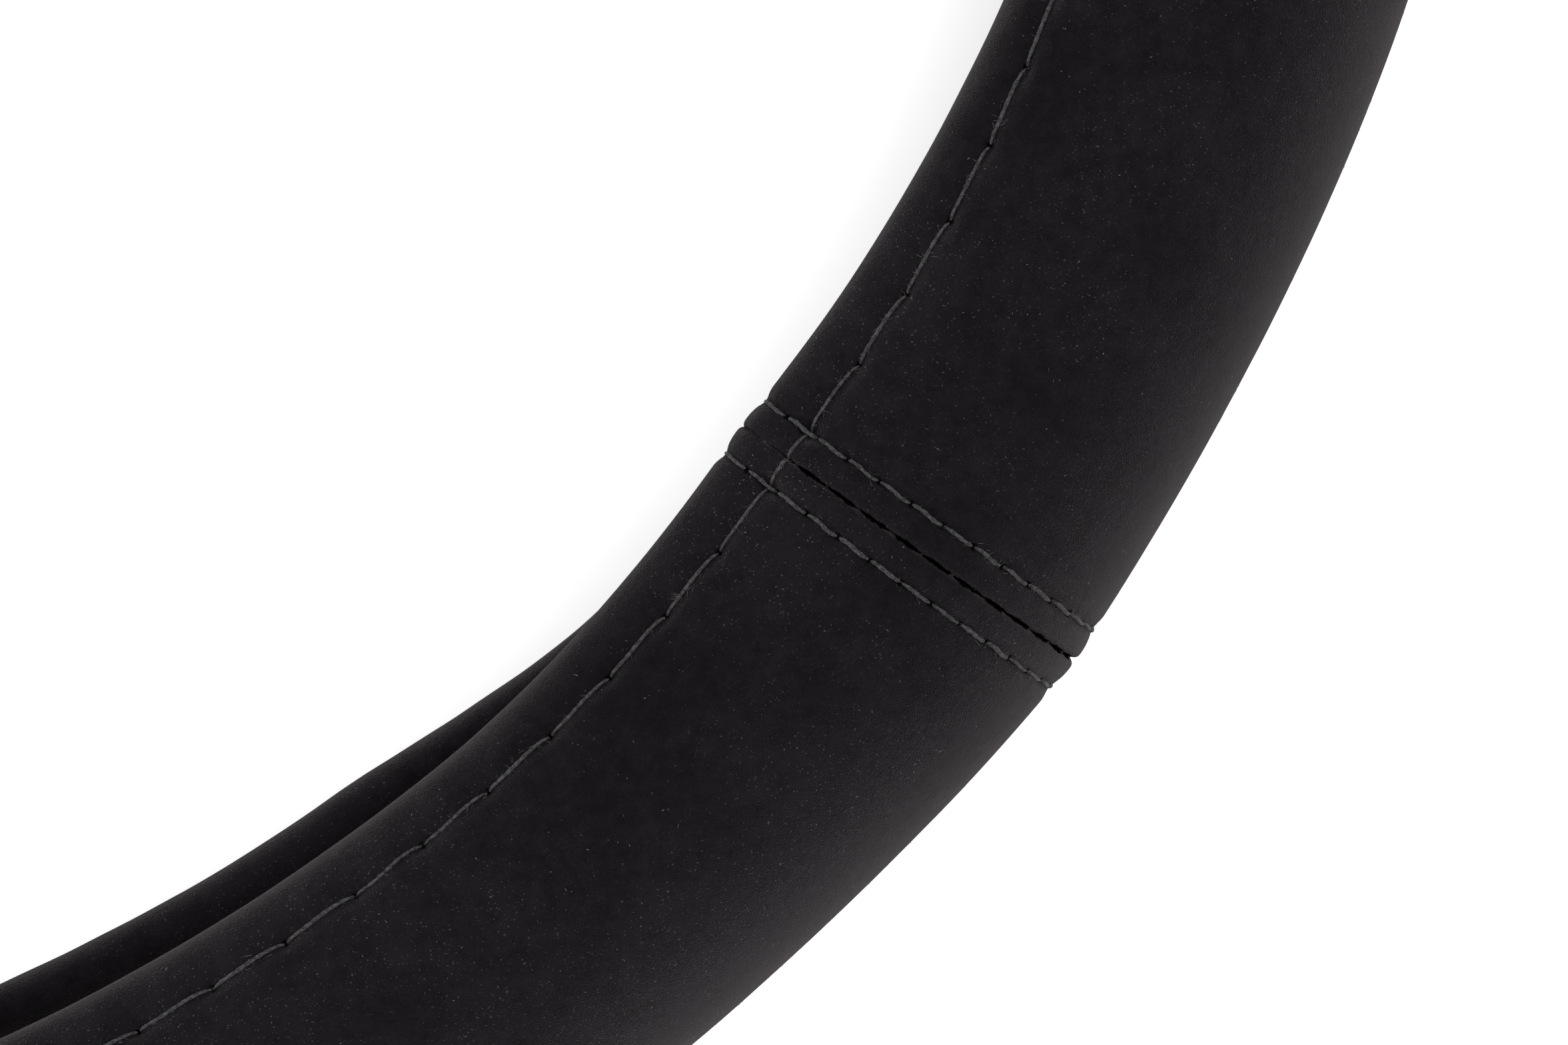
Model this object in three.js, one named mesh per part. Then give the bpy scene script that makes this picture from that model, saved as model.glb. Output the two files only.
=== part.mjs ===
// A steering wheel cover: four suede panels, sewn end to end and stretched over a moulded rubber
// channel that grips the rim of the wheel. It lies on its rear face. The origin is the centre of the
// ring on the surface below it, +Z is the axis of the ring, from its rear to its front, +X is
// 3 o'clock and +Y is 12 o'clock.
import * as THREE from 'three';

// Driving dimensions of the ring and its section, in millimetres
const outerDiameter = 380;
const sectionWidth = 38.8; // along the radius of the ring
const sectionHeight = 29.4; // along its axis, between the two flats
const flatWidth = 6; // of the flat bands that the ring rests on
const mouthWidth = 17.1; // between the two edges where the skin starts to roll into the channel

// Layers
const clothThickness = 1.1;
const linerWall = 2;
const clearance = 0.3; // between two layers

// Hems
const hemTurn = 9; // cloth that is turned in behind each lip
const hemMargin = 3.4; // from the hem stitches to the start of the lip's roll

// Seams
const seamAngle = 41.4; // of each seam from the line through 3 and 9 o'clock, in degrees
const seamGap = 0.3; // between the ends of two panels
const bulgeHeight = 1.2; // that the turned-in seam allowance adds to the section
const bulgeReach = 19; // along the ring, until most of the bulge has faded
const notchHalfWidth = 0.9;
const notchDepth = 0.8;
const ridgeOffset = 1.7; // from the seam to the top of the soft ridge beside it
const ridgeHeight = 0.15;
const rowOffset = 2.9; // from the seam to each row of topstitching
const rowDepth = 0.7; // that the topstitching pulls the cloth down, so that its thread lies flush
const rowShoulder = 4.2; // from the seam to where the cloth is level again

// Threads
const hemThreadDiameter = 0.6;
const topstitchThreadDiameter = 0.5;
const joiningThreadDiameter = 0.4;
const threadSeat = 0.15; // between a thread and the cloth under it
const joiningThreadDepth = 0.2; // of the thread's middle under the skin, in the notch
const rowEndGap = 0.6; // between a row's thread and the hem thread that crosses its end

// Fineness of the faces
const stationStep = 18; // along the ring, between two stations away from the seams
const skinFaces = 7; // round the outer side of the section, from flat to flat
const walkSteps = 12;

// Places on the section. An angle of 0 is the outermost point, and 90 degrees is the front.
const semiWidth = sectionWidth / 2;
const flatAngle = Math.acos(flatWidth / sectionWidth);
const semiHeight = sectionHeight / 2 / Math.sin(flatAngle);
const ringRadius = outerDiameter / 2 - semiWidth;
const lipAngle = Math.PI - Math.asin(mouthWidth / 2 / semiHeight);
const stackHeight = 2 * clothThickness + 2 * clearance + linerWall; // through a lip
const stitchAngle = walk(lipAngle, -hemMargin);
const hemEndAngle = walk(lipAngle, -hemTurn);
const skinAngles = listSkinAngles();

// The angle at a distance along the oval from a first angle
function walk(start, distance) {
  let angle = start;
  for (let i = 0; i < walkSteps; i++) {
    angle += distance / walkSteps / Math.hypot(semiWidth * Math.sin(angle), semiHeight * Math.cos(angle));
  }
  return angle;
}

// The corners of the skin, from the front lip over the outer side to the rear lip
function listSkinAngles() {
  const hem = [lipAngle, stitchAngle, hemEndAngle, Math.PI - flatAngle];
  const outer = [];
  for (let i = 0; i <= skinFaces; i++) outer.push(flatAngle * (1 - 2 * i / skinFaces));
  return [...hem, ...outer, ...hem.map((angle) => -angle).reverse()];
}

// The oval's direction outwards, and the point at a depth below its surface
function outward(angle) {
  return new THREE.Vector2(semiHeight * Math.cos(angle), semiWidth * Math.sin(angle)).normalize();
}
function ovalPoint(angle, depth) {
  const point = new THREE.Vector2(semiWidth * Math.cos(angle), semiHeight * Math.sin(angle));
  return point.addScaledVector(outward(angle), -depth);
}

// A point on the roll of a lip, from 0 at the skin to 180 degrees inside the channel
function rollPoint(side, radius, turn) {
  const angle = side * lipAngle;
  const out = outward(angle);
  const ahead = new THREE.Vector2(-out.y, out.x).multiplyScalar(side);
  const centre = ovalPoint(angle, stackHeight / 2);
  return centre.addScaledVector(out, radius * Math.cos(turn)).addScaledVector(ahead, radius * Math.sin(turn));
}
function roll(side, radius, faces) {
  const points = [];
  for (let i = 1; i < faces; i++) points.push(rollPoint(side, radius, Math.PI * i / faces));
  return points;
}

// How far the skin rises beside a seam, at a distance from it along the ring
function bulge(distance) {
  return bulgeHeight * Math.exp(-Math.pow(distance / bulgeReach, 1.5));
}
const seamProfile = [
  { distance: seamGap / 2, rise: -notchDepth },
  { distance: notchHalfWidth, rise: 0 },
  { distance: ridgeOffset, rise: ridgeHeight },
  { distance: rowOffset, rise: -rowDepth },
  { distance: rowShoulder, rise: 0 },
  { distance: bulgeReach / 2, rise: 0 },
  { distance: bulgeReach * 1.3, rise: 0 },
];

// The skin's corner at an angle, with the bulge and rise of a station. The skin only rises along the
// radius of the ring, so that the bands it rests on stay flat.
function skinPoint(angle, station, lift) {
  const point = ovalPoint(angle, -Math.min(0, lift));
  point.x += (bulge(station.distance) + Math.max(0, lift)) * Math.cos(angle);
  return point;
}
function rollSkin(side, station) {
  const faces = 4;
  const edge = ovalPoint(side * lipAngle, 0);
  return roll(side, stackHeight / 2, faces).map((point, i) => {
    const share = (1 + Math.cos(Math.PI * (i + 1) / faces)) / 2;
    return point.add(skinPoint(side * lipAngle, station, station.rise).sub(edge).multiplyScalar(share));
  });
}

// The closed outline of a panel, with a hem turned in round each lip of the liner
function panelOutline(station) {
  const hemOuter = stackHeight - clothThickness;
  const innerRadius = stackHeight / 2 - clothThickness;
  const hem = (side) => [
    ...rollSkin(side, station),
    ovalPoint(side * lipAngle, stackHeight),
    ovalPoint(side * hemEndAngle, stackHeight),
    ovalPoint(side * hemEndAngle, hemOuter),
    ovalPoint(side * lipAngle, hemOuter),
    ...roll(side, innerRadius, 3).reverse(),
  ];
  return [
    ...skinAngles.map((angle) => skinPoint(angle, station, station.rise)),
    ...hem(-1),
    ...skinAngles.map((angle) => ovalPoint(angle, clothThickness)).reverse(),
    ...hem(1).reverse(),
  ];
}

// The closed outline of the rubber channel, with round lips
function linerOutline() {
  const outer = clothThickness + clearance;
  return [
    ...skinAngles.map((angle) => ovalPoint(angle, outer)),
    ...roll(-1, linerWall / 2, 3),
    ...skinAngles.map((angle) => ovalPoint(angle, outer + linerWall)).reverse(),
    ...roll(1, linerWall / 2, 3).reverse(),
  ];
}

// Four corners round a point, on two directions at right angles
function threadOutline(point, first, second, diameter) {
  return [[first, 1], [second, 1], [first, -1], [second, -1]].map(
    ([direction, sign]) => point.clone().addScaledVector(direction, sign * diameter / 2));
}

// A point of the section, at an angle round the ring
function place(point, angle) {
  const radius = ringRadius + point.x;
  return new THREE.Vector3(radius * Math.cos(angle), radius * Math.sin(angle), sectionHeight / 2 + point.y);
}

// The stations of a panel, from one seam to the next. Their count is odd, so that the middle face of
// each panel is square to an axis.
function panelStations(start, end) {
  const turn = (distance) => distance / ringRadius;
  const first = seamProfile.map((row) => ({ ...row, angle: start + turn(row.distance) }));
  const last = seamProfile.map((row) => ({ ...row, angle: end - turn(row.distance) })).reverse();
  const from = first[first.length - 1].angle;
  const span = last[0].angle - from;
  const count = 1 + 2 * Math.round(span * ringRadius / stationStep / 2 - 0.5);
  const middle = [];
  for (let i = 1; i < count; i++) {
    const angle = from + span * i / count;
    const distance = Math.min(angle - start, end - angle) * ringRadius;
    middle.push({ angle, distance, rise: 0 });
  }
  return [...first, ...middle, ...last];
}

// A closed solid through sections of like corners. Its prism has one step for each section, and its
// ends are faced from the flat outline of the first one.
function loft(outline, sections) {
  const steps = sections.length - 1;
  const settings = { depth: steps, steps, bevelEnabled: false };
  const geometry = new THREE.ExtrudeGeometry(new THREE.Shape(outline), settings);
  const position = geometry.getAttribute('position');
  for (let i = 0; i < position.count; i++) {
    const x = position.getX(i);
    const y = position.getY(i);
    const gaps = outline.map((point) => Math.hypot(point.x - x, point.y - y));
    const corner = sections[Math.round(position.getZ(i))][gaps.indexOf(Math.min(...gaps))];
    position.setXYZ(i, corner.x, corner.y, corner.z);
  }
  geometry.computeVertexNormals();
  return geometry;
}

// The same, closed on itself round the ring
function loop(sections) {
  const corners = sections[0].length;
  const outline = [];
  for (let i = 0; i <= corners; i++) {
    const turn = 2 * Math.PI * i / corners;
    outline.push(new THREE.Vector2(2 + Math.cos(turn), Math.sin(turn)));
  }
  const geometry = new THREE.LatheGeometry(outline, sections.length);
  const position = geometry.getAttribute('position');
  for (let i = 0; i < position.count; i++) {
    const step = Math.floor(i / outline.length);
    const corner = sections[(sections.length - step) % sections.length][i % outline.length % corners];
    position.setXYZ(i, corner.x, corner.y, corner.z);
  }
  geometry.computeVertexNormals();
  return geometry;
}

function panelGeometry(stations) {
  const order = [...stations].reverse();
  const sections = order.map((station) => panelOutline(station).map((point) => place(point, station.angle)));
  return loft(panelOutline(order[0]), sections);
}

function linerGeometry(stations) {
  const outline = linerOutline();
  return loop(stations.map((station) => outline.map((point) => place(point, station.angle))));
}

// A thread that runs round the ring, on the skin above one hem
function hemThreadGeometry(stations, side) {
  const height = hemThreadDiameter / 2 + threadSeat;
  const angle = side * stitchAngle;
  const out = outward(angle);
  const across = new THREE.Vector2(-out.y, out.x);
  return loop(stations.map((station) => {
    const point = skinPoint(angle, station, Math.max(0, station.rise)).addScaledVector(out, height);
    const corners = threadOutline(point, across, out, hemThreadDiameter);
    return corners.map((corner) => place(corner, station.angle));
  }));
}

// A thread that runs round the section beside or in a seam, from one hem thread to the other
function crossThreadGeometry(ringAngle, station, diameter) {
  const angles = [...skinAngles.slice(1, -1)];
  const trim = (hemThreadDiameter + rowEndGap) * Math.sign(angles[0]);
  angles[0] = walk(angles[0], -trim);
  angles[angles.length - 1] = walk(angles[angles.length - 1], trim);
  const along = new THREE.Vector3(-Math.sin(ringAngle), Math.cos(ringAngle), 0);
  const sections = angles.map((angle) => {
    const out = outward(angle);
    const point = place(skinPoint(angle, station, station.rise), ringAngle);
    const direction = new THREE.Vector3(out.x * Math.cos(ringAngle), out.x * Math.sin(ringAngle), out.y);
    return threadOutline(point, direction, along, diameter);
  });
  const flat = threadOutline(new THREE.Vector2(), new THREE.Vector2(0, 1), new THREE.Vector2(1, 0), diameter);
  return loft(flat, sections);
}

const suede = { color: 0x222124, roughness: 0.95, metalness: 0 };
const rubber = { color: 0x151515, roughness: 0.6, metalness: 0 };
const thread = { color: 0x4a4a4c, roughness: 0.8, metalness: 0 };

const cover = new THREE.Group();
function add(name, geometry, finish) {
  const mesh = new THREE.Mesh(geometry, new THREE.MeshStandardMaterial(finish));
  mesh.name = name;
  cover.add(mesh);
}

// The seams, and the panels between each seam and the next
const seam = THREE.MathUtils.degToRad(seamAngle);
const seams = [
  { name: 'lower_right', angle: -seam },
  { name: 'upper_right', angle: seam },
  { name: 'upper_left', angle: Math.PI - seam },
  { name: 'lower_left', angle: Math.PI + seam },
];
const panels = ['right', 'top', 'left', 'bottom'].map((name, i) => {
  const end = i < 3 ? seams[i + 1].angle : seams[0].angle + 2 * Math.PI;
  return { name, stations: panelStations(seams[i].angle, end) };
});
const stations = panels.flatMap((panel) => panel.stations);

// The liner takes the panels' wide stations and one at each seam, so that their faces run side by side
const linerStations = panels.flatMap((panel, i) => [
  { angle: seams[i].angle },
  ...panel.stations.filter((station) => station.distance > rowShoulder),
]);

add('liner_ring', linerGeometry(linerStations), rubber);
for (const panel of panels) add(`panel_${panel.name}`, panelGeometry(panel.stations), suede);
add('hem_thread_front', hemThreadGeometry(stations, 1), thread);
add('hem_thread_rear', hemThreadGeometry(stations, -1), thread);
for (const { name, angle } of seams) {
  const notch = { distance: 0, rise: -joiningThreadDepth };
  add(`joining_thread_${name}`, crossThreadGeometry(angle, notch, joiningThreadDiameter), thread);
  const seat = topstitchThreadDiameter / 2 + threadSeat - rowDepth;
  const row = { distance: rowOffset, rise: seat };
  [-1, 1].forEach((side, i) => {
    const rowAngle = angle + side * rowOffset / ringRadius;
    add(`topstitch_${name}_${i + 1}`, crossThreadGeometry(rowAngle, row, topstitchThreadDiameter), thread);
  });
}

export default cover;
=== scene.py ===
import bisect
import math
import random
from functools import lru_cache

import bmesh
import bpy
from mathutils import Matrix, Vector, noise


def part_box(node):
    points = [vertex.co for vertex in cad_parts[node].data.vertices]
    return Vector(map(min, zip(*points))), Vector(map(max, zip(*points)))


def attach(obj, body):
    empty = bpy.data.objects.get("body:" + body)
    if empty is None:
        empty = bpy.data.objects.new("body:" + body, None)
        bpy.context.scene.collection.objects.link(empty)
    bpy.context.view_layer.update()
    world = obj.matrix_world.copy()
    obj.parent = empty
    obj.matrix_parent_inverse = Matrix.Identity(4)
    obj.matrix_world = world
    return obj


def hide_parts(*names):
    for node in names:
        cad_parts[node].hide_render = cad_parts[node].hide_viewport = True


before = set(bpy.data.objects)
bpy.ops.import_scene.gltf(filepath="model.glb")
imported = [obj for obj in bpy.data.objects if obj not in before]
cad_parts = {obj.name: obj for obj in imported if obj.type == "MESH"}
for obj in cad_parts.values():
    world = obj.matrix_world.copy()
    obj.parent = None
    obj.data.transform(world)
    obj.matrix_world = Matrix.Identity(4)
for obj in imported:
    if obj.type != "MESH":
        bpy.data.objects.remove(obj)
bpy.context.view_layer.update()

# The ring and its section, as the solids have them
MM = 0.001
OUTER_RADIUS = 190.0
SEMI_WIDTH = 19.4
SECTION_HEIGHT = 29.4
FLAT_WIDTH = 6.0
FLAT_ANGLE = math.acos(FLAT_WIDTH / 2 / SEMI_WIDTH)
SEMI_HEIGHT = SECTION_HEIGHT / 2 / math.sin(FLAT_ANGLE)
RING_RADIUS = OUTER_RADIUS - SEMI_WIDTH
MOUTH_WIDTH = 17.1
LIP_ANGLE = math.pi - math.asin(MOUTH_WIDTH / 2 / SEMI_HEIGHT)
CLOTH = 1.1
CLEARANCE = 0.3
LINER_WALL = 2.0
STACK = 2 * CLOTH + 2 * CLEARANCE + LINER_WALL
ROLL_RADIUS = STACK / 2
HEM_TURN = 9.0
HEM_MARGIN = 3.4

# Seams
SEAM_NAMES = ("lower_right", "upper_right", "upper_left", "lower_left")
PANEL_NAMES = ("right", "top", "left", "bottom")
SEWN_SPREAD = 0.4
BULGE_HEIGHT = 1.2
BULGE_REACH = 19.0
BULGE_POWER = 1.5
NOTCH_DEPTH = 0.52
NOTCH_FADE = 0.65
NOTCH_FADE_LENGTH = 2.0
RIDGE_OFFSET = 0.9
RIDGE_HEIGHT = 0.15
RIDGE_POWER = 4
ROW_OFFSET = 2.9
ROW_DEPTH = 0.25
ROW_SHOULDER = 4.4
ROW_DIMPLE = 0.25
ROW_DIMPLE_WIDTH = 0.45
SEAM_RELIEF_REACH = ROW_SHOULDER + 1
SHEET_THICKNESS = 0.8

# Relief beside the hem stitches, and slow unevenness all over
HEM_RELIEF_REACH = 9.0
GROOVE_DEPTH = 0.28
GROOVE_WIDTH = 0.8
PUCKER_HEIGHT = 0.16
PUCKER_OFFSET = 1.3
PUCKER_WIDTH = 1.7
MARGIN_HEIGHT = 0.16
MARGIN_OFFSET = 2.2
MARGIN_WIDTH = 1.4
HEM_DIMPLE = 0.55
HEM_DIMPLE_LENGTH = 1.0
SOFT_HEIGHT = 0.22
SOFT_REACH = 40.0
SOFT_ROUND = 4.2
FINE_HEIGHT = 0.05
FINE_SHARE = 5.3

# Stitches: pitches, and from least to most for what varies between them
HEM_PITCH = 6.9
HEM_RADII = (0.15, 0.2)
HEM_SLANTS = (0.05, 0.3)
HEM_ARCHES = (0.04, 0.16)
HEM_SWAYS = (-0.08, 0.08)
HEM_SINK = 0.8
HEM_STRAIGHTER = 0.6
ROW_PITCH = 3.1
ROW_RADII = (0.17, 0.22)
ROW_SLANTS = (0.06, 0.22)
ROW_ARCHES = (0.02, 0.12)
ROW_SINK = 0.6
JOINING_HUMPS = (0.3, 0.55)
JOINING_SINK = 0.35
JOINING_RADIUS = 0.15
JOINING_POWER = 8
STITCH_POWER = 9
STITCH_END_WIDTH = 0.6
STITCH_WIDTH_POWER = 0.6
PLY_WAIST = 0.3
PLY_TWIST = 0.9

# How finely the meshes are cut
STITCH_COLUMNS = 5
ROW_ROWS = 3
SEAM_STEP = 0.1
BESIDE_SEAM_STEP = 0.3
FINE_HEM_REACH = 2.2
FINE_HEM_ROWS = 3
QUARTERS = (0.25, 0.5, 0.75)
LINER_FACES = 36
LIP_FACES = 8
RING_FACES = 300
HEM_SAMPLES = 24
ROW_SAMPLES = 14
JOINING_SAMPLES = 8
THREAD_SIDES = 8
JOINING_SIDES = 6

# Lint and loose fibres
LINT_DOUBLINGS = 15
LINT_HEIGHT = 0.03
LINT_LENGTH = 0.1
LINT_SPREAD = 0.6
LINT_WIDTHS = (0.02, 0.05)
LINT_RISE = 0.7
FIBRE_DOUBLINGS = 13
FIBRE_HEIGHT = 0.05
FIBRE_LENGTHS = (0.3, 1.0)
FIBRE_WIDTHS = (0.009, 0.017)
FIBRE_SCATTER = 0.2
FIBRE_RISE = 0.35

# The free mouth nearly closes at the ring's sides: its rear edge is drawn in about a line on the rear face
DRAW_ANGLE = math.radians(18.5)
DRAW_LINE = 2.0
DRAW_BEND = 6.0
DRAW_END = math.radians(60)
DRAW_FADE = math.radians(13.5)

# The lips are puffed at the seams and tucked in between them, and the seams lean towards the lips
LIP_SWELL = 0.6
LIP_SWELL_LENGTH = 24.0
LIP_TUCK = 1.6
LIP_TUCK_START = 18.0
LIP_TUCK_LENGTH = 56.0
LIP_PUFF_OFFSET = 2.2
LIP_PUFF_WIDTH = 2.4
SKEW = math.radians(0.24)
SKEW_START = 10.0
SKEW_LENGTH = 45.0


def smooth(share):
    """An even ramp from 0 to 1."""
    share = min(1.0, max(0.0, share))
    return share * share * (3 - 2 * share)


def hill(away, width):
    """1 at its top, falling off with the distance away from it."""
    return math.exp(-(away / width) ** 2)


# The section

def oval(angle, depth=0.0):
    """A point of the section's oval, below its surface by a depth, and the way out of it."""
    out = Vector((SEMI_HEIGHT * math.cos(angle), SEMI_WIDTH * math.sin(angle))).normalized()
    point = Vector((SEMI_WIDTH * math.cos(angle), SEMI_HEIGHT * math.sin(angle)))
    return point - out * depth, out


def reach_of(angle, steps=400):
    """The distance along the oval from its outermost point to an angle."""
    total = 0.0
    for i in range(steps):
        middle = angle * (i + 0.5) / steps
        total += math.hypot(SEMI_WIDTH * math.sin(middle), SEMI_HEIGHT * math.cos(middle)) * angle / steps
    return total


def angle_at(reach, steps=60):
    """The oval's angle at a distance along it."""
    angle = 0.0
    for _ in range(steps):
        angle += reach / steps / math.hypot(SEMI_WIDTH * math.sin(angle), SEMI_HEIGHT * math.cos(angle))
    return angle


LIP_REACH = reach_of(LIP_ANGLE)
ROLL_REACH = math.pi * ROLL_RADIUS
STITCH_REACH = LIP_REACH - HEM_MARGIN
CLOTH_REACH = LIP_REACH + ROLL_REACH + HEM_TURN
ROW_STITCHES = math.floor((LIP_REACH + ROLL_RADIUS) / ROW_PITCH)


@lru_cache(maxsize=None)
def section(reach):
    """Where the cloth's face is in the section, its way out, and how much of the relief it takes."""
    side = 1.0 if reach >= 0 else -1.0
    length = abs(reach)
    point, out = oval(angle_at(min(length, LIP_REACH)))
    share = 1.0
    if length > LIP_REACH:
        roll = min((length - LIP_REACH) / ROLL_RADIUS, math.pi)
        ahead = Vector((-out.y, out.x))
        centre = point - out * ROLL_RADIUS
        out = out * math.cos(roll) + ahead * math.sin(roll)
        point = centre + out * ROLL_RADIUS
        share = (1 + math.cos(roll)) / 2
    if length > LIP_REACH + ROLL_REACH:
        point, out = oval(angle_at(2 * LIP_REACH + ROLL_REACH - length), STACK)
        out = -out
    return (point.x, side * point.y), (out.x, side * out.y), share


# The seams' turns come from their joining threads, which lie in the seams

def turn_of_seam(name):
    """The turn of the middle of a seam's joining thread."""
    low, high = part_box("joining_thread_" + name)
    return math.atan2(low.y + high.y, low.x + high.x) % (2 * math.pi)


SEAM_TURNS = {name: turn_of_seam(name) for name in SEAM_NAMES}


def sewn_radius(x):
    """The radius that turns have in the sewing: rows spread a little where the cloth is stretched more."""
    return RING_RADIUS ** (1 - SEWN_SPREAD) * (RING_RADIUS + x) ** SEWN_SPREAD


def from_seam(turn):
    """The turn from the nearest seam, with its sign."""
    full = 2 * math.pi
    turns = [(turn - seam + math.pi) % full - math.pi for seam in SEAM_TURNS.values()]
    return min(turns, key=abs)


# Holes of the hem stitches, by turn, with one at each row of topstitching

STITCH_RADIUS = RING_RADIUS + section(STITCH_REACH)[0][0]


def hem_holes():
    """The turns of the hem's needle holes, evenly spaced between the rows beside two seams."""
    holes = []
    row = ROW_OFFSET / sewn_radius(section(STITCH_REACH)[0][0])
    ordered = sorted(SEAM_TURNS.values())
    for start, end in zip(ordered, ordered[1:] + [ordered[0] + 2 * math.pi]):
        first = start + row
        span = end - row - first
        count = round(span * STITCH_RADIUS / HEM_PITCH)
        holes += [first + span * i / count for i in range(count + 1)]
    return holes


HEM_HOLES = hem_holes()


def stitches_passed(turn):
    """How many hem stitches lie between the first hole and a turn, as a number with its fraction."""
    full = 2 * math.pi
    past = (turn - HEM_HOLES[0]) % full + HEM_HOLES[0]
    low = bisect.bisect_right(HEM_HOLES, past) - 1
    start = HEM_HOLES[low]
    end = HEM_HOLES[low + 1] if low + 1 < len(HEM_HOLES) else HEM_HOLES[0] + full
    return low + (past - start) / (end - start)


# The drawn rear edge

def draw_share(turn):
    """1 at the ring's right and left sides, and 0 at its top and bottom."""
    from_side = math.atan2(abs(math.sin(turn)), abs(math.cos(turn)))
    return smooth((DRAW_END - from_side) / DRAW_FADE)


def drawn(x, y, turn):
    """A point of the section after the rear edge is drawn in, and the angle it is turned by."""
    if y > 0 or x > -DRAW_LINE:
        return x, y, 0.0
    angle = DRAW_ANGLE * draw_share(turn) * smooth((-x - DRAW_LINE) / DRAW_BEND)
    across = x + DRAW_LINE
    up = y + SECTION_HEIGHT / 2
    c = math.cos(angle)
    s = math.sin(angle)
    return across * c + up * s - DRAW_LINE, up * c - across * s - SECTION_HEIGHT / 2, angle


def turned(x, y, angle):
    """A direction turned with the rear edge."""
    return x * math.cos(angle) + y * math.sin(angle), y * math.cos(angle) - x * math.sin(angle)


# Relief of the cloth, in millimetres along its way out

def seam_relief(gap, reach):
    """A notch at the seam, a soft ridge beside it, and the groove that a row of stitches makes."""
    if gap < RIDGE_OFFSET:
        fade = NOTCH_FADE * smooth((abs(reach) - STITCH_REACH) / NOTCH_FADE_LENGTH)
        depth = NOTCH_DEPTH * (1 - fade)
        rise = 1 - (1 - gap / RIDGE_OFFSET) ** RIDGE_POWER
        return -depth + (depth + RIDGE_HEIGHT) * rise
    if gap < ROW_OFFSET:
        fall = ((gap - RIDGE_OFFSET) / (ROW_OFFSET - RIDGE_OFFSET)) ** 2
        return RIDGE_HEIGHT - (RIDGE_HEIGHT + ROW_DEPTH) * fall
    return -ROW_DEPTH * (1 - smooth((gap - ROW_OFFSET) / (ROW_SHOULDER - ROW_OFFSET)))


def row_hole_relief(gap, reach):
    """The dimple at each needle hole of the topstitching."""
    along = ((reach / ROW_PITCH + 0.5) % 1 - 0.5) * ROW_PITCH
    return -ROW_DIMPLE * hill(math.hypot(gap - ROW_OFFSET, along), ROW_DIMPLE_WIDTH)


def hem_relief(turn, reach, holes):
    """The groove of the hem stitches, the dimple at each hole and the puckers between them."""
    away = abs(reach) - STITCH_REACH
    if abs(away) > HEM_RELIEF_REACH:
        return 0.0
    share = stitches_passed(turn) % 1
    gap = min(share, 1 - share) * HEM_PITCH
    groove = -GROOVE_DEPTH * hill(away, GROOVE_WIDTH)
    pucker = -PUCKER_HEIGHT * math.cos(2 * math.pi * share) * hill(abs(away) - PUCKER_OFFSET, PUCKER_WIDTH)
    margin = MARGIN_HEIGHT * hill(away - MARGIN_OFFSET, MARGIN_WIDTH)
    dimple = 0.0
    if holes:
        dimple = -HEM_DIMPLE * hill(away, GROOVE_WIDTH) * hill(gap, HEM_DIMPLE_LENGTH)
    return groove + pucker + margin + dimple + lip_puff(turn, away)


def lip_puff(turn, away):
    """The swelling of the lip near a seam, and its tuck between seams."""
    far = abs(from_seam(turn)) * RING_RADIUS
    swell = LIP_SWELL * hill(far, LIP_SWELL_LENGTH)
    tuck = LIP_TUCK * smooth((far - LIP_TUCK_START) / LIP_TUCK_LENGTH)
    return (swell - tuck) * draw_share(turn) * hill(away - HEM_MARGIN - LIP_PUFF_OFFSET, LIP_PUFF_WIDTH)


def softness(turn, reach):
    """Slow unevenness of stretched cloth."""
    spot = Vector((math.cos(turn) * SOFT_ROUND, math.sin(turn) * SOFT_ROUND, reach / SOFT_REACH))
    return SOFT_HEIGHT * noise.noise(spot) + FINE_HEIGHT * noise.noise(spot * FINE_SHARE)


def bulge(gap):
    """How far the cover is thicker over the seam's turned-in cloth."""
    return BULGE_HEIGHT * math.exp(-(gap / BULGE_REACH) ** BULGE_POWER)


def skin(turn, reach, height=0.0, holes=True):
    """A place on the face of the cloth, or at a height over it, in metres."""
    point, out, share = section(round(reach, 3))
    gap = abs(from_seam(turn)) * sewn_radius(point[0])
    lift = height
    if share > 0:
        relief = softness(turn, reach) + hem_relief(turn, reach, holes)
        if gap < SEAM_RELIEF_REACH:
            relief += seam_relief(gap, reach)
            if holes:
                relief += row_hole_relief(gap, reach)
        lift += share * relief
    x, y, angle = drawn(*point, turn)
    out = turned(*out, angle)
    turn -= SKEW * smooth((abs(reach) - SKEW_START) / SKEW_LENGTH)
    radius = RING_RADIUS + x + out[0] * lift + share * bulge(gap) * point[0] / SEMI_WIDTH
    up = max(0.0, SECTION_HEIGHT / 2 + y + out[1] * lift)
    return Vector((radius * math.cos(turn), radius * math.sin(turn), up)) * MM


def directions(turn, reach):
    """The way out of the cloth, along the ring, and across it towards the front."""
    point, out, _ = section(round(reach, 3))
    out = turned(*out, drawn(*point, turn)[2])
    outward = Vector((out[0] * math.cos(turn), out[0] * math.sin(turn), out[1]))
    along = Vector((-math.sin(turn), math.cos(turn), 0.0))
    return outward, along, along.cross(outward) * -1


# Meshes

def piece(name, bm, finish, slot, *nodes):
    """A finished mesh as a piece that rides with the cover."""
    mesh = bpy.data.meshes.new(name)
    bm.to_mesh(mesh)
    bm.free()
    mesh.shade_smooth()
    mesh.materials.append(finish)
    made = bpy.data.objects.new(name, mesh)
    bpy.context.scene.collection.objects.link(made)
    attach(made, "root")
    if nodes:
        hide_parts(*nodes)
    return made


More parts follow.
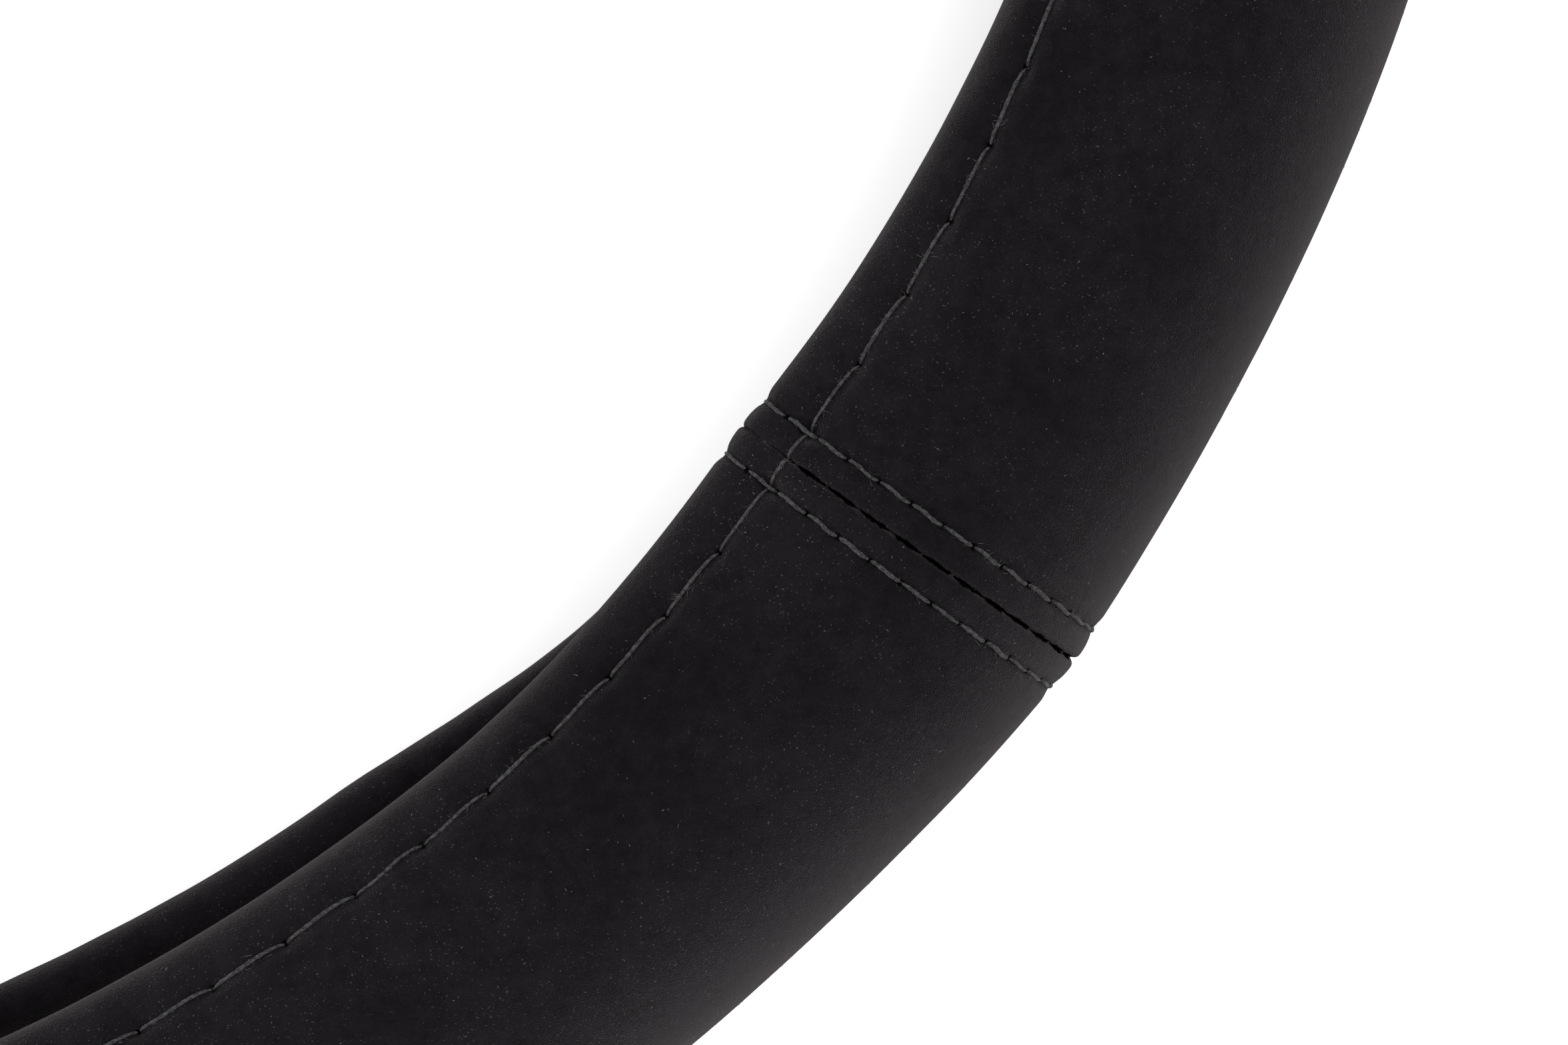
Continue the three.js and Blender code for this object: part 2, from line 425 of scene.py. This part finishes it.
def shaped_grid(columns, rows, place):
    """A grid of so many columns and rows of points, each moved to its place."""
    bm = bmesh.new()
    bmesh.ops.create_grid(bm, x_segments=columns - 1, y_segments=rows - 1, size=0.5)
    for vertex in bm.verts:
        column = round((vertex.co.x + 0.5) * (columns - 1))
        row = round((vertex.co.y + 0.5) * (rows - 1))
        vertex.co = place(column, row)
    return bm


def spaced(length, step):
    """Places along a length, at a step that depends on the place, made to fit it."""
    places = [0.0]
    while places[-1] < length:
        places.append(places[-1] + step(places[-1]))
    return [place * length / places[-1] for place in places]


def panel_turns(start, end):
    """Columns of a panel: fine at its seams, and so many to each hem stitch between them."""
    row = ROW_OFFSET / sewn_radius(section(STITCH_REACH)[0][0])
    first = start + row
    last = end - row

    def step(away):
        return (SEAM_STEP + BESIDE_SEAM_STEP * smooth(away * STITCH_RADIUS)) / STITCH_RADIUS
    beside = spaced(first - start, step)
    count = STITCH_COLUMNS * round((last - first) * STITCH_RADIUS / HEM_PITCH)
    middle = [first + (last - first) * i / count for i in range(1, count)]
    near_first = [middle[0] + (first - middle[0]) * share for share in reversed(QUARTERS)]
    near_last = [middle[-1] + (last - middle[-1]) * share for share in QUARTERS]
    left = [start + away for away in beside]
    right = [end - away for away in reversed(beside)]
    return left + near_first + middle + near_last + right


def panel_reaches():
    """Rows of a panel: so many to each stitch of the topstitching, and finer at the hem."""
    step = ROW_PITCH / ROW_ROWS
    away = [0.0]
    while away[-1] < CLOTH_REACH - 1e-6:
        near = abs(away[-1] + step / 2 - STITCH_REACH) < FINE_HEM_REACH
        away.append(min(away[-1] + (step / FINE_HEM_ROWS if near else step), CLOTH_REACH))
    return [-reach for reach in away[:0:-1]] + away


def mark(bm, turns, reaches):
    """Gives the shader each point's distance from the seam, its reach, and its place along the hem."""
    seam_map = bm.loops.layers.uv.new("seam_map")
    hem_map = bm.loops.layers.uv.new("hem_map")
    marks = {}
    for i, turn in enumerate(turns):
        passed = stitches_passed(turn)
        if i > len(turns) / 2 and passed < 1:
            passed += len(HEM_HOLES)
        for j, reach in enumerate(reaches):
            gap = from_seam(turn) * sewn_radius(section(round(reach, 3))[0][0])
            marks[j * len(turns) + i] = (gap, reach, passed)
    bm.verts.index_update()
    for face in bm.faces:
        for loop in face.loops:
            gap, reach, passed = marks[loop.vert.index]
            loop[seam_map].uv = (gap, reach)
            loop[hem_map].uv = (passed, abs(reach) - STITCH_REACH)


def make_panel(name, start, end, finish):
    """One cloth panel from seam to seam, with its hems turned in."""
    turns = panel_turns(start, end)
    reaches = panel_reaches()
    bm = shaped_grid(len(turns), len(reaches), lambda i, j: skin(turns[i], reaches[j]))
    mark(bm, turns, reaches)
    made = piece("cloth_" + name, bm, finish, "suede", "panel_" + name)
    wall = made.modifiers.new("thickness", "SOLIDIFY")
    wall.thickness = SHEET_THICKNESS * MM
    wall.offset = -1
    width = (end - start) * RING_RADIUS * MM
    2 * CLOTH_REACH * MM
    return made


def make_liner(finish):
    """The rubber channel: its closed outline spun round the ring."""
    bm = bmesh.new()
    outer = CLOTH + CLEARANCE
    angles = [LIP_ANGLE * (1 - 2 * i / LINER_FACES) for i in range(LINER_FACES + 1)]
    outline = [oval(angle, outer)[0] for angle in angles]
    outline += lip(-1)
    outline += [oval(angle, outer + LINER_WALL)[0] for angle in reversed(angles)]
    outline += lip(1)[::-1]
    verts = [bm.verts.new(((RING_RADIUS + p.x) * MM, 0, (SECTION_HEIGHT / 2 + p.y) * MM)) for p in outline]
    edges = [bm.edges.new((verts[i - 1], verts[i])) for i in range(len(verts))]
    bmesh.ops.spin(bm, geom=verts + edges, cent=(0, 0, 0), axis=(0, 0, 1), angle=2 * math.pi,
                   steps=RING_FACES, use_merge=True)
    bmesh.ops.remove_doubles(bm, verts=bm.verts, dist=1e-6)
    for vertex in bm.verts:
        turn = math.atan2(vertex.co.y, vertex.co.x)
        x, y, _ = drawn(vertex.co.xy.length / MM - RING_RADIUS, vertex.co.z / MM - SECTION_HEIGHT / 2, turn)
        radius = RING_RADIUS + x
        up = SECTION_HEIGHT / 2 + y
        vertex.co = Vector((radius * math.cos(turn), radius * math.sin(turn), up)) * MM
    bmesh.ops.recalc_face_normals(bm, faces=bm.faces)
    return piece("rubber_channel", bm, finish, "rubber", "liner_ring")


def lip(side):
    """The round end of the channel's wall, from its outer face to its inner one."""
    centre, out = oval(side * LIP_ANGLE, STACK / 2)
    ahead = Vector((-out.y, out.x)) * side
    turns = [math.pi * i / LIP_FACES for i in range(1, LIP_FACES)]
    return [centre + (out * math.cos(t) + ahead * math.sin(t)) * (LINER_WALL / 2) for t in turns]


def make_thread(name, rings, finish, *nodes, sides=THREAD_SIDES):
    """A thread of two twisted plies through rings, each a centre, two directions across it and a radius."""
    lengths = [0.0]
    for before, after in zip(rings, rings[1:]):
        lengths.append(lengths[-1] + (after[0] - before[0]).length / MM)

    def place(column, row):
        centre, up, aside, radius = rings[column]
        turn = 2 * math.pi * row / sides
        ply = 1 - PLY_WAIST * math.sin(turn - math.pi * lengths[column] / PLY_TWIST) ** 2
        return centre + (up * math.cos(turn) + aside * math.sin(turn)) * radius * ply
    bm = shaped_grid(len(rings), sides + 1, place)
    bmesh.ops.remove_doubles(bm, verts=bm.verts, dist=1e-6)
    bmesh.ops.recalc_face_normals(bm, faces=bm.faces)
    return piece(name, bm, finish, "thread", *nodes)


def stitch_samples(count):
    """Places along a stitch, close at its ends, with the share of its height and width."""
    for i in range(count):
        share = 0.5 - 0.5 * math.cos(math.pi * i / count)
        share = 0.5 * share + 0.5 * i / count
        rise = 1 - abs(2 * share - 1) ** STITCH_POWER
        belly = math.sin(math.pi * share) ** STITCH_WIDTH_POWER
        yield share, rise, STITCH_END_WIDTH + (1 - STITCH_END_WIDTH) * belly


def hem_thread_rings(side, chance):
    """The hem stitches of one lip, all round, each straighter near the ring's sides."""
    rings = []
    reach = side * STITCH_REACH
    holes = HEM_HOLES + [HEM_HOLES[0] + 2 * math.pi]
    for start, end in zip(holes, holes[1:]):
        radius = chance.uniform(*HEM_RADII)
        slant = chance.uniform(*HEM_SLANTS) * (1 - HEM_STRAIGHTER * draw_share(start))
        arch = chance.uniform(*HEM_ARCHES)
        sway = chance.uniform(*HEM_SWAYS)
        for share, rise, width in stitch_samples(HEM_SAMPLES):
            turn = start + (end - start) * share
            aside = sway * math.sin(math.pi * share) - slant / 2 * math.sin(2 * math.pi * share)
            height = -HEM_SINK + (HEM_SINK + arch) * rise
            rings.append(thread_ring(turn, reach + aside, height, radius * width, True))
    rings.append(rings[0])
    return rings


def thread_ring(turn, reach, height, radius, along_ring):
    """A ring of a thread that runs along the cover or across it, kept above the floor."""
    outward, along, across = directions(turn, reach)
    centre = skin(turn, reach, height, holes=False)
    centre.z = max(centre.z, radius * MM)
    return centre, outward, across if along_ring else along, radius * MM


def row_rings(seam, side, chance):
    """A row of topstitching, from inside one lip to inside the other."""
    rings = []
    for i in range(-ROW_STITCHES, ROW_STITCHES):
        radius = chance.uniform(*ROW_RADII)
        slant = chance.uniform(*ROW_SLANTS)
        arch = chance.uniform(*ROW_ARCHES)
        for share, rise, width in stitch_samples(ROW_SAMPLES):
            reach = round((i + share) * ROW_PITCH, 2)
            aside = -slant / 2 * math.sin(2 * math.pi * share)
            turn = seam + (side * ROW_OFFSET + aside) / sewn_radius(section(reach)[0][0])
            height = -ROW_SINK + (ROW_SINK + arch) * rise
            rings.append(thread_ring(turn, reach, height, radius * width, False))
    return tapered(rings)


def joining_rings(seam, chance):
    """The thread deep in the seam's notch, of which only low humps show."""
    rings = []
    for i in range(-ROW_STITCHES, ROW_STITCHES):
        hump = chance.uniform(*JOINING_HUMPS)
        for share, _, width in stitch_samples(JOINING_SAMPLES):
            reach = round((i + share) * ROW_PITCH, 2)
            height = -JOINING_SINK + hump * (2 * share - 1) ** JOINING_POWER
            rings.append(thread_ring(seam, reach, height, JOINING_RADIUS * width, False))
    return tapered(rings)


def tapered(rings):
    """The same rings, closed to a point at both ends."""
    first = (*rings[0][:3], 0.0)
    last = (*rings[-1][:3], 0.0)
    return [first] + rings + [last]


# Materials

class Wire:
    """A socket that carries a number, so that shader maths reads as an expression."""

    def __init__(self, finish, socket):
        self.finish = finish
        self.socket = socket

    def math(self, operation, *others):
        """A maths node with this wire as its first value."""
        settings = {"operation": operation}
        return self.finish.node("ShaderNodeMath", settings, dict(enumerate((self, *others))))

    def __add__(self, other):
        return self.math("ADD", other)

    def __sub__(self, other):
        return self.math("SUBTRACT", other)

    def __rsub__(self, other):
        return self * -1 + other

    def __mul__(self, other):
        return self.math("MULTIPLY", other)

    __radd__ = __add__
    __rmul__ = __mul__

    def ramp(self, low, high):
        """0 at low, 1 at high and soft in between. Low may be the larger of the two."""
        return self.finish.node("ShaderNodeMapRange", {"interpolation_type": "SMOOTHSTEP"},
                                {"Value": self, "From Min": low, "From Max": high})


class Finish:
    """The nodes of one material or world."""

    def __init__(self, tree):
        self.tree = tree
        tree.nodes.clear()

    def node(self, kind, settings=None, inputs=None, output=0):
        """A node with its settings, then its values and links."""
        made = self.tree.nodes.new(kind)
        for key, value in (settings or {}).items():
            setattr(made, key, value)
        for key, value in (inputs or {}).items():
            if isinstance(value, Wire):
                self.tree.links.new(value.socket, made.inputs[key])
            else:
                made.inputs[key].default_value = value
        return Wire(self, made.outputs[output]) if made.outputs else made

    def place(self):
        """Where a point is on its piece."""
        return self.node("ShaderNodeTexCoord", output="Object")

    def noise(self, size, detail=2.0, roughness=0.5):
        """Even noise with features of a size in metres."""
        return self.node("ShaderNodeTexNoise", None, {
            "Vector": self.place(), "Scale": 1 / size, "Detail": detail, "Roughness": roughness})

    def parts(self, vector):
        """The first two parts of a vector."""
        split = self.tree.nodes.new("ShaderNodeSeparateXYZ")
        self.tree.links.new(vector.socket, split.inputs[0])
        return Wire(self, split.outputs[0]), Wire(self, split.outputs[1])

    def mix(self, share, first, second):
        """A colour between two others."""
        return self.node("ShaderNodeMix", {"data_type": "RGBA"}, {0: share, 6: first, 7: second}, 2)

    def bump(self, height, strength, distance, under=None):
        """Fine relief, which may lie on a coarser one."""
        inputs = {"Height": height, "Strength": strength, "Distance": distance}
        if under is not None:
            inputs["Normal"] = under
        return self.node("ShaderNodeBump", None, inputs)


def grey(value, warm=1.0, cool=1.0):
    """A grey with its red and its blue raised or lowered."""
    return (value * warm, value, value * cool, 1.0)


def material(name):
    """A new material, and the finish that its nodes are made with."""
    made = bpy.data.materials.new(name)
    made.use_nodes = True
    finish = Finish(made.node_tree)
    return made, finish


def shade(finish, sockets):
    """A Principled shader with these sockets, as the whole surface."""
    surface = finish.node("ShaderNodeBsdfPrincipled", None, sockets)
    finish.node("ShaderNodeOutputMaterial", None, {"Surface": surface})


# Painted shade in the needle holes and in the seam's notch, in millimetres: it is full inside its core and
# gone at its edge
SHADE_GRAIN = 0.5
HOLE_EDGE = 0.44
HOLE_CORE = 0.16
HOLE_ROUGHNESS = 0.3
SEAM_EDGE = 0.14
SEAM_CORE = 0.02
SEAM_OPENS = 0.12
SEAM_OPEN_FROM = 0.1
SEAM_OPEN_TO = 1.0
SEAM_ROUGHNESS = 0.4
SEAM_LEFT_AT_LIP = 0.4
SEAM_FADE_FROM = -1.0
SEAM_FADE_TO = 0.5


def away_from(across, along):
    """The distance, in millimetres, from a spot across and along."""
    return (across * across + along * along).math("SQRT")


def painted_recess_shade(finish):
    """Painted shade: 1 in the needle holes and in the seam's notch, which opens between stitches and fades
    at the lips.
    """
    seam = finish.node("ShaderNodeUVMap", {"uv_map": "seam_map"})
    hem = finish.node("ShaderNodeUVMap", {"uv_map": "hem_map"})
    gap, reach = finish.parts(seam)
    passed, beside = finish.parts(hem)
    rough = finish.noise(SHADE_GRAIN * MM) - 0.5
    row_along = ((reach * (1 / ROW_PITCH) + 0.5).math("FRACT") - 0.5) * ROW_PITCH
    row = away_from(gap.math("ABSOLUTE") - ROW_OFFSET, row_along)
    hem_along = ((passed + 0.5).math("FRACT") - 0.5) * HEM_PITCH
    stitch = away_from(beside, hem_along)
    holes = (row.math("MINIMUM", stitch) + rough * HOLE_ROUGHNESS).ramp(HOLE_EDGE, HOLE_CORE)
    opened = row_along.math("ABSOLUTE").ramp(SEAM_OPEN_FROM, SEAM_OPEN_TO) * SEAM_OPENS
    notch = (gap.math("ABSOLUTE") + rough * SEAM_ROUGHNESS - opened).ramp(SEAM_EDGE, SEAM_CORE)
    left = beside.ramp(SEAM_FADE_TO, SEAM_FADE_FROM) * (1 - SEAM_LEFT_AT_LIP) + SEAM_LEFT_AT_LIP
    return holes.math("MAXIMUM", notch * left)


def suede():
    """Short black nap: cloudy, with pale specks of lint, and paler where it is seen edge on. Painted shade
    darkens its needle holes and its seam's notch.
    """
    made, finish = material("black_suede")
    clouds = finish.noise(size=0.022, detail=3.0, roughness=0.6)
    mottle = finish.noise(size=0.0016, detail=3.0, roughness=0.7)
    nap = finish.noise(size=0.00012, detail=2.0, roughness=0.7)
    dust = finish.noise(size=0.00017, detail=0.0).ramp(0.75, 0.82)
    tone = clouds * 0.35 + mottle * 0.3 + nap * 0.35
    darkest = grey(0.0026, warm=1.25, cool=1.3)
    palest = grey(0.0094, warm=1.22, cool=1.22)
    cloth = finish.mix(tone.ramp(0.38, 0.62), darkest, palest)
    dusty = finish.mix(dust * clouds.ramp(0.35, 0.6), cloth, grey(0.07))
    coarse = finish.bump(mottle, strength=0.22, distance=0.0003)
    fine = finish.bump(nap, strength=0.9, distance=0.00017, under=coarse)
    face = finish.node("ShaderNodeBsdfPrincipled", None, {
        "Base Color": dusty, "Roughness": nap * 0.1 + 0.86, "Normal": fine,
        "Specular IOR Level": 0.08, "Sheen Weight": 0.185, "Sheen Roughness": 0.33,
        "Sheen Tint": (1.0, 0.9, 0.95, 1.0)})
    # A near-black diffuse shader, mixed in as painted shade in the needle holes and in the seam's notch
    recess_shade_diffuse = finish.node("ShaderNodeBsdfDiffuse", None, {"Color": grey(0.002)})
    surface = finish.node("ShaderNodeMixShader", None, {0: painted_recess_shade(finish), 1: face, 2: recess_shade_diffuse})
    finish.node("ShaderNodeOutputMaterial", None, {"Surface": surface})
    return made


def rubber():
    """Dull black moulded rubber."""
    made, finish = material("black_rubber")
    grain = finish.noise(size=0.0005, detail=3.0, roughness=0.6)
    broad = finish.noise(size=0.012)
    colour = finish.mix(broad.ramp(0.35, 0.65), grey(0.012), grey(0.022))
    shade(finish, {
        "Base Color": colour, "Roughness": grain * 0.2 + 0.5,
        "Normal": finish.bump(grain, strength=0.3, distance=0.0001)})
    return made


def thread():
    """Dark grey spun thread, hairy and uneven."""
    made, finish = material("grey_thread")
    plies = finish.noise(size=0.00028, detail=3.0, roughness=0.75)
    hairs = finish.noise(size=0.00012, roughness=0.6)
    darkest = grey(0.004, warm=1.08, cool=1.1)
    palest = grey(0.05, warm=1.07, cool=1.08)
    colour = finish.mix(plies.ramp(0.41, 0.6), darkest, palest)
    coarse = finish.bump(plies, strength=0.9, distance=0.00015)
    shade(finish, {
        "Base Color": colour, "Roughness": hairs * 0.1 + 0.8,
        "Normal": finish.bump(hairs, strength=0.5, distance=0.00006, under=coarse),
        "Sheen Weight": 0.1, "Sheen Roughness": 0.5})
    return made


def lint():
    """Pale dust and hairs."""
    made, finish = material("pale_lint")
    tone = finish.noise(size=0.003, detail=1.0)
    colour = finish.mix(tone.ramp(0.4, 0.6), grey(0.04), grey(0.2))
    shade(finish, {"Base Color": colour, "Roughness": tone * 0.1 + 0.8})
    return made


# Loose fibres

def copies_of_spike(doublings, place):
    """Three-sided spikes, doubled so many times, each corner moved to its place."""
    bm = bmesh.new()
    bmesh.ops.create_cone(bm, cap_ends=True, cap_tris=True, segments=3, radius1=1, radius2=0, depth=1)
    bmesh.ops.remove_doubles(bm, verts=bm.verts, dist=1e-4)
    spike = bpy.data.meshes.new("spike")
    bm.to_mesh(spike)
    bm.clear()
    bm.from_mesh(spike)
    bpy.data.meshes.remove(spike)
    corners = [vertex.co.copy() for vertex in bm.verts]
    for _ in range(doublings):
        bmesh.ops.duplicate(bm, geom=bm.verts[:] + bm.edges[:] + bm.faces[:])
    bm.verts.index_update()
    for vertex in bm.verts:
        vertex.co = place(vertex.index // len(corners), corners[vertex.index % len(corners)])
    return bm


def laid(centre, way, length, width, corner):
    """Where a spike's corner is when the spike lies one way, and not below the floor."""
    side = way.orthogonal().normalized()
    spot = centre + (side * corner.x + way.cross(side) * corner.y) * width + way * corner.z * length
    spot.z = max(spot.z, 0.0)
    return spot


def leaning(turn, reach, most_rise, chance):
    """A random way along the cloth, which may rise from it."""
    outward, along, across = directions(turn, reach)
    lean = chance.uniform(0, 2 * math.pi)
    way = along * math.cos(lean) + across * math.sin(lean) + outward * chance.uniform(0, most_rise)
    return way.normalized()


def make_lint(chance, finish):
    """Short pale fibres that lie on the nap, all round the cover."""
    spots = []
    for _ in range(2 ** LINT_DOUBLINGS):
        turn = chance.uniform(0, 2 * math.pi)
        reach = round(chance.uniform(-LIP_REACH, LIP_REACH), 1)
        way = leaning(turn, reach, LINT_RISE, chance)
        length = MM * LINT_LENGTH * math.exp(chance.gauss(0, LINT_SPREAD))
        width = MM * chance.uniform(*LINT_WIDTHS)
        spots.append((skin(turn, reach, LINT_HEIGHT), way, length, width))
    bm = copies_of_spike(LINT_DOUBLINGS, lambda copy, corner: laid(*spots[copy], corner))
    return piece("lint", bm, finish, "suede")


def make_needle_fibres(chance, finish):
    """Fine hairs that the needle has pulled up beside the stitches, one in three of them at the seams."""
    spots = []
    for i in range(2 ** FIBRE_DOUBLINGS):
        if i % 3:
            turn = chance.uniform(0, 2 * math.pi)
            reach = chance.choice((-1, 1)) * round(STITCH_REACH + chance.gauss(0, FIBRE_SCATTER), 1)
        else:
            seam = chance.choice(list(SEAM_TURNS.values()))
            reach = round(chance.uniform(-LIP_REACH, LIP_REACH), 1)
            aside = chance.choice((-1, 1)) * ROW_OFFSET + chance.gauss(0, FIBRE_SCATTER)
            turn = seam + aside / sewn_radius(section(reach)[0][0])
        way = leaning(turn, reach, FIBRE_RISE, chance)
        length = MM * chance.uniform(*FIBRE_LENGTHS)
        width = MM * chance.uniform(*FIBRE_WIDTHS)
        centre = skin(turn, reach, FIBRE_HEIGHT) + way * length / 2
        spots.append((centre, way, length, width))
    bm = copies_of_spike(FIBRE_DOUBLINGS, lambda copy, corner: laid(*spots[copy], corner))
    return piece("needle_fibres", bm, finish, "thread")


# Setting, in metres

FLOOR_SIZE = 4.0
FLOOR_DROP = 0.0001
FLOOR_GLOW = 0.6
WORLD_LIGHT = 0.7


def seen_directly(finish):
    """1 for rays from the camera, or through and off shiny things, and 0 for light."""
    camera = finish.node("ShaderNodeLightPath", output="Is Camera Ray")
    glossy = finish.node("ShaderNodeLightPath", output="Is Glossy Ray")
    through = finish.node("ShaderNodeLightPath", output="Is Transmission Ray")
    rays = camera + glossy + through
    return rays.math("MINIMUM", 1.0)


def make_floor():
    """A pale floor that looks white in the picture and keeps the cover's shadow."""
    bm = bmesh.new()
    bmesh.ops.create_grid(bm, x_segments=1, y_segments=1, size=FLOOR_SIZE)
    mesh = bpy.data.meshes.new("floor")
    bm.to_mesh(mesh)
    bm.free()
    made, finish = material("white_floor")
    bright = finish.node("ShaderNodeEmission", None, {"Strength": seen_directly(finish) * FLOOR_GLOW})
    matte = finish.node("ShaderNodeBsdfDiffuse", None, {"Color": grey(0.8)})
    both = finish.node("ShaderNodeAddShader", None, {0: bright, 1: matte})
    finish.node("ShaderNodeOutputMaterial", None, {"Surface": both})
    mesh.materials.append(made)
    floor = bpy.data.objects.new("floor", mesh)
    floor.location.z = -FLOOR_DROP
    bpy.context.scene.collection.objects.link(floor)


def make_world():
    """Even white light, and a white background."""
    world = bpy.data.worlds.new("studio")
    world.use_nodes = True
    finish = Finish(world.node_tree)
    strength = seen_directly(finish) * (1 - WORLD_LIGHT) + WORLD_LIGHT
    sky = finish.node("ShaderNodeBackground", None, {"Color": (1, 1, 1, 1), "Strength": strength})
    finish.node("ShaderNodeOutputWorld", None, {"Surface": sky})
    bpy.context.scene.world = world


def make_lamp(name, place, aim, size, power):
    """A round soft lamp that points at its aim."""
    light = bpy.data.lights.new(name, "AREA")
    light.shape = "DISK"
    light.size = size
    light.energy = power
    lamp = bpy.data.objects.new(name, light)
    lamp.location = place
    lamp.rotation_euler = (Vector(aim) - Vector(place)).to_track_quat("-Z", "Y").to_euler()
    bpy.context.scene.collection.objects.link(lamp)


CAMERA_PLACE = Vector((81.921, -68.621, 213.97)) * MM
CAMERA_AIM = Vector((118.412, -111.563, 14.7)) * MM
CAMERA_ROLL = math.radians(4.073)
CAMERA_LENS = 54.478
CAMERA_SENSOR = 36.0
CAMERA_CLIP = 0.01


def make_camera():
    """The camera at the photo's place, turn and lens."""
    data = bpy.data.cameras.new("camera")
    data.sensor_width = CAMERA_SENSOR
    data.lens = CAMERA_LENS
    data.clip_start = CAMERA_CLIP
    camera = bpy.data.objects.new("camera", data)
    ahead = (CAMERA_AIM - CAMERA_PLACE).normalized()
    up = (Vector((0, 1, 0)) - ahead * ahead.y).normalized()
    up = Matrix.Rotation(CAMERA_ROLL, 3, ahead) @ up
    right = ahead.cross(up)
    aimed = Matrix((right, up, -ahead)).transposed().to_4x4()
    camera.matrix_world = Matrix.Translation(CAMERA_PLACE) @ aimed
    bpy.context.scene.collection.objects.link(camera)
    bpy.context.scene.camera = camera


def dress_cover():
    """All pieces of the cover."""
    cloth = suede()
    grey_thread = thread()
    ordered = [SEAM_TURNS[name] for name in SEAM_NAMES]
    for i, name in enumerate(PANEL_NAMES):
        start = ordered[i]
        end = ordered[(i + 1) % len(ordered)]
        make_panel(name, start, start + (end - start) % (2 * math.pi), cloth)
    make_liner(rubber())
    for side, name in ((1, "front"), (-1, "rear")):
        rings = hem_thread_rings(side, random.Random(side + 10))
        make_thread("hem_stitches_" + name, rings, grey_thread, "hem_thread_" + name)
    for i, (name, seam) in enumerate(SEAM_TURNS.items()):
        rings = joining_rings(seam, random.Random(30 + i))
        make_thread("seam_stitches_" + name, rings, grey_thread, "joining_thread_" + name,
                    sides=JOINING_SIDES)
        for j, side in enumerate((-1, 1)):
            rings = row_rings(seam, side, random.Random(50 + 2 * i + j))
            make_thread(f"row_stitches_{name}_{j + 1}", rings, grey_thread, f"topstitch_{name}_{j + 1}")
    pale = lint()
    make_lint(random.Random(7), pale)
    make_needle_fibres(random.Random(8), pale)


dress_cover()
make_floor()
make_world()
make_lamp("key", place=(0.5, 0.5, 0.9), aim=(0.1, -0.1, 0.0), size=0.8, power=6)
make_lamp("fill", place=(-0.85, -0.6, 0.14), aim=(0.13, -0.08, 0.0), size=0.5, power=9)
make_camera()
bpy.context.scene.view_settings.view_transform = "Standard"
